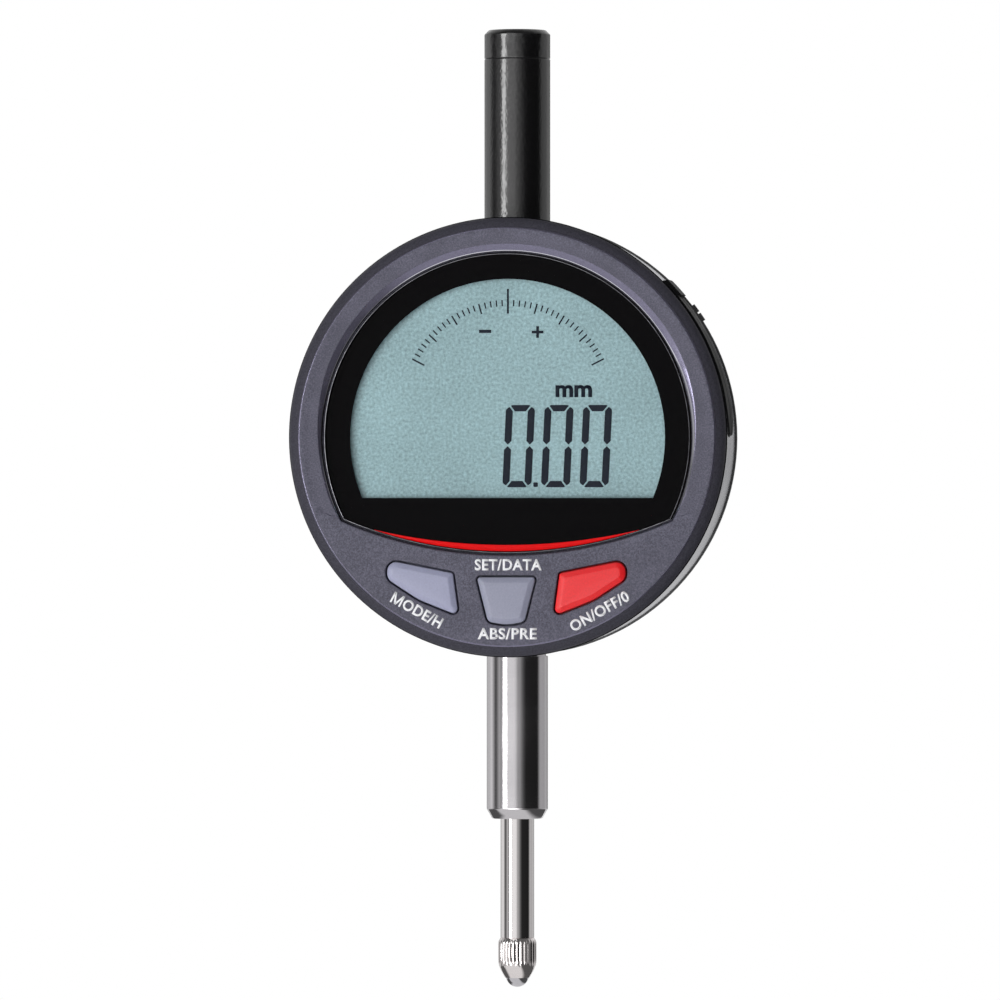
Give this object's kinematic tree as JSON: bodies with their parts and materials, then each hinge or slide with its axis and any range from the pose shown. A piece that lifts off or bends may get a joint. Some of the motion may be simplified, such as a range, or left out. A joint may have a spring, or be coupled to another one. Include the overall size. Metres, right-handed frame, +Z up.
{
  "type": "digital dial indicator",
  "caption": "Digital dial indicator: round head with a liquid crystal window and buttons below it, clamping stem, sprung measuring spindle with a ball contact and a capped upper tube.",
  "frame": {"origin": "on the stem axis, half way down the 20 mm clamping length of the stem", "axes": "+Z up along the stem, spindle and upper tube; -Y is the way the display faces; +X to the right of someone reading the display"},
  "size_m": [0.0569, 0.021, 0.1251],
  "materials": {
    "cover_grey": "satin dark grey with a fine metallic grain",
    "case_metal": "fine turned aluminium",
    "black_plastic": "matt black moulding",
    "window": "clear polished window",
    "mask_black": "gloss black print",
    "accent_red": "gloss red inlay",
    "lcd": "reflective liquid crystal cell, satin grey-green",
    "lcd_frame": "white moulded frame",
    "zebra": "conductive silicone strip",
    "board": "green solder mask over glass-epoxy board",
    "chip": "black potting resin",
    "components": "tinned ceramic parts",
    "screw_steel": "nickel plated steel",
    "switch_black": "black switch body",
    "plunger_white": "white switch plunger",
    "button_lilac": "satin lilac grey cap",
    "button_grey": "satin grey cap",
    "button_red": "satin red cap",
    "gasket": "black nitrile",
    "cell_steel": "stainless coin cell can",
    "contact_brass": "gold flashed leaf spring",
    "stem_steel": "ground and polished stainless steel",
    "bronze": "bronze bushing",
    "tube_black": "gloss black with a fine hammered texture",
    "spindle_steel": "ground and polished stainless steel",
    "contact_steel": "knurled and hardened steel",
    "ball": "polished carbide ball",
    "carrier": "milled aluminium",
    "scale": "glass-epoxy scale with gold electrodes",
    "spring_steel": "spring wire",
    "buffer": "black nitrile"
  },
  "bodies": {
    "case": {"front_cover": "cover_grey", "window_lens": "window", "display_mask": "mask_black", "accent_strip": "accent_red", "lcd_panel": "lcd", "lcd_frame": "lcd_frame", "zebra_strip": "zebra", "main_board": "board", "asic_chip": "chip", "board_components": "components", "board_screws": "screw_steel", "tact_switches": "switch_black", "case_body": "case_metal", "back_cover": "black_plastic", "back_gasket": "gasket", "cover_screws": "screw_steel", "battery_bay": "black_plastic", "cell_contact_minus": "contact_brass", "cell_contact_plus": "contact_brass", "stem": "stem_steel", "stem_bushing_lower": "bronze", "stem_bushing_upper": "bronze", "lock_nuts": "screw_steel", "spindle_tube": "tube_black", "tube_bushing": "bronze", "tube_cap": "tube_black", "guide_rod": "spindle_steel", "return_spring": "spring_steel", "stop_buffer": "buffer"},
    "spindle": {"spindle": "spindle_steel", "contact_point": "contact_steel", "contact_ball": "ball", "scale_carrier": "carrier", "scale_strip": "scale", "carrier_screws": "screw_steel"},
    "mode_button": {"mode_button": "button_lilac", "mode_plunger": "plunger_white"},
    "set_button": {"set_button": "button_grey", "set_plunger": "plunger_white"},
    "power_button": {"power_button": "button_red", "power_plunger": "plunger_white"},
    "battery_drawer": {"battery_drawer": "black_plastic", "coin_cell": "cell_steel"}
  },
  "joints": [
    {"name": "spindle_slide", "type": "slide", "parent": "case", "child": "spindle", "axis": [0, 0, 1], "range_m": [0, 0.0127], "stiffness_N_per_m": 39, "springref_m": -0.0256, "deforming": ["return_spring"]},
    {"name": "mode_button_press", "type": "slide", "parent": "case", "child": "mode_button", "axis": [0, 1, 0], "range_m": [0, 0.00035], "stiffness_N_per_m": 800, "springref_m": -0.0006},
    {"name": "set_button_press", "type": "slide", "parent": "case", "child": "set_button", "axis": [0, 1, 0], "range_m": [0, 0.00035], "stiffness_N_per_m": 800, "springref_m": -0.0006},
    {"name": "power_button_press", "type": "slide", "parent": "case", "child": "power_button", "axis": [0, 1, 0], "range_m": [0, 0.00035], "stiffness_N_per_m": 800, "springref_m": -0.0006},
    {"name": "battery_drawer_slide", "type": "slide", "parent": "case", "child": "battery_drawer", "axis": [0.9205, 0, 0.3907], "range_m": [0, 0.022]}
  ]
}
